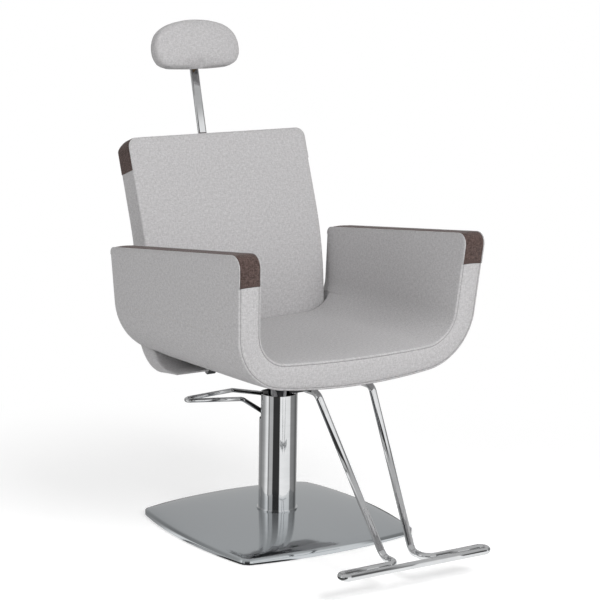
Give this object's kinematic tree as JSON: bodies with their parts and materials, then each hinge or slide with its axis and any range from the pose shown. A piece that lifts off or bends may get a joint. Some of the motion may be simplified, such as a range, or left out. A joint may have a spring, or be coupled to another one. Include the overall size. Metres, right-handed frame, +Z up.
{
  "type": "threading chair",
  "caption": "Upholstered salon chair with a U shaped seat shell, reclining back, sliding headrest and rod footrest on a pumped swivel column over a square domed base.",
  "frame": {"origin": "on the floor under the column axis, at the underside of the base", "axes": "+Z up along the column, the sitter faces -Y, -X is the sitter's right"},
  "size_m": [0.6388, 0.9809, 1.1346],
  "materials": {
    "satin_steel": "satin dome with a polished rim",
    "cast_plate": "painted",
    "mat": "matt",
    "chrome": "polished",
    "cast_pump": "painted",
    "fasteners": "zinc plated",
    "bronze": "turned",
    "black_steel": "satin paint",
    "seal": "matt",
    "timber": "bent plywood",
    "light_fabric": "woven",
    "dark_fabric": "woven",
    "liner": "matt"
  },
  "bodies": {
    "base": {"base_cover": "satin_steel", "ballast_plate": "cast_plate", "floor_mat": "mat", "foot_collar": "chrome", "column_cover": "chrome", "pump_body": "cast_pump", "flange_bolts": "fasteners", "gland_ring": "bronze", "lever_axle": "fasteners"},
    "lever": {"lever_yoke": "black_steel", "pump_lever": "chrome"},
    "lift": {"piston": "chrome", "piston_seal": "seal", "thrust_washer": "bronze", "spindle_screw": "fasteners"},
    "seat": {"seat_hub": "black_steel", "seat_plate": "black_steel", "seat_screws": "fasteners", "shell_frame": "timber", "shell_cover": "light_fabric", "seat_lining": "light_fabric", "arm_pad_left": "dark_fabric", "arm_pad_right": "dark_fabric", "footrest": "chrome", "footrest_clamps": "black_steel", "clamp_screws": "fasteners", "hinge_lugs": "black_steel", "lug_screws": "fasteners", "hinge_pins": "fasteners"},
    "back": {"hinge_arms": "black_steel", "back_board": "timber", "back_cover": "light_fabric", "back_band": "dark_fabric", "headrest_guide": "black_steel", "guide_liner": "liner", "guide_screws": "fasteners"},
    "headrest": {"headrest_bar": "chrome", "bar_stop": "liner", "headrest_plate": "timber", "headrest_cushion": "light_fabric"}
  },
  "joints": [
    {"name": "lift_slide", "type": "slide", "parent": "base", "child": "lift", "axis": [0, 0, 1], "range_m": [0, 0.13]},
    {"name": "seat_swivel", "type": "hinge", "parent": "lift", "child": "seat", "pos_m": [0, 0, 0.337], "axis": [0, 0, 1], "continuous": true},
    {"name": "lever_hinge", "type": "hinge", "parent": "base", "child": "lever", "pos_m": [-0.02468, 0.01615, 0.296], "axis": [-0.5476, -0.8368, 0], "range_deg": [0, 12], "stiffness_Nm_per_rad": 6, "springref_deg": -8.59},
    {"name": "back_recline", "type": "hinge", "parent": "seat", "child": "back", "pos_m": [0, 0.06, 0.368], "axis": [-1, 0, 0], "range_deg": [0, 20]},
    {"name": "headrest_slide", "type": "slide", "parent": "back", "child": "headrest", "axis": [0, 0.2622, 0.965], "range_m": [-0.11, 0.04]}
  ]
}
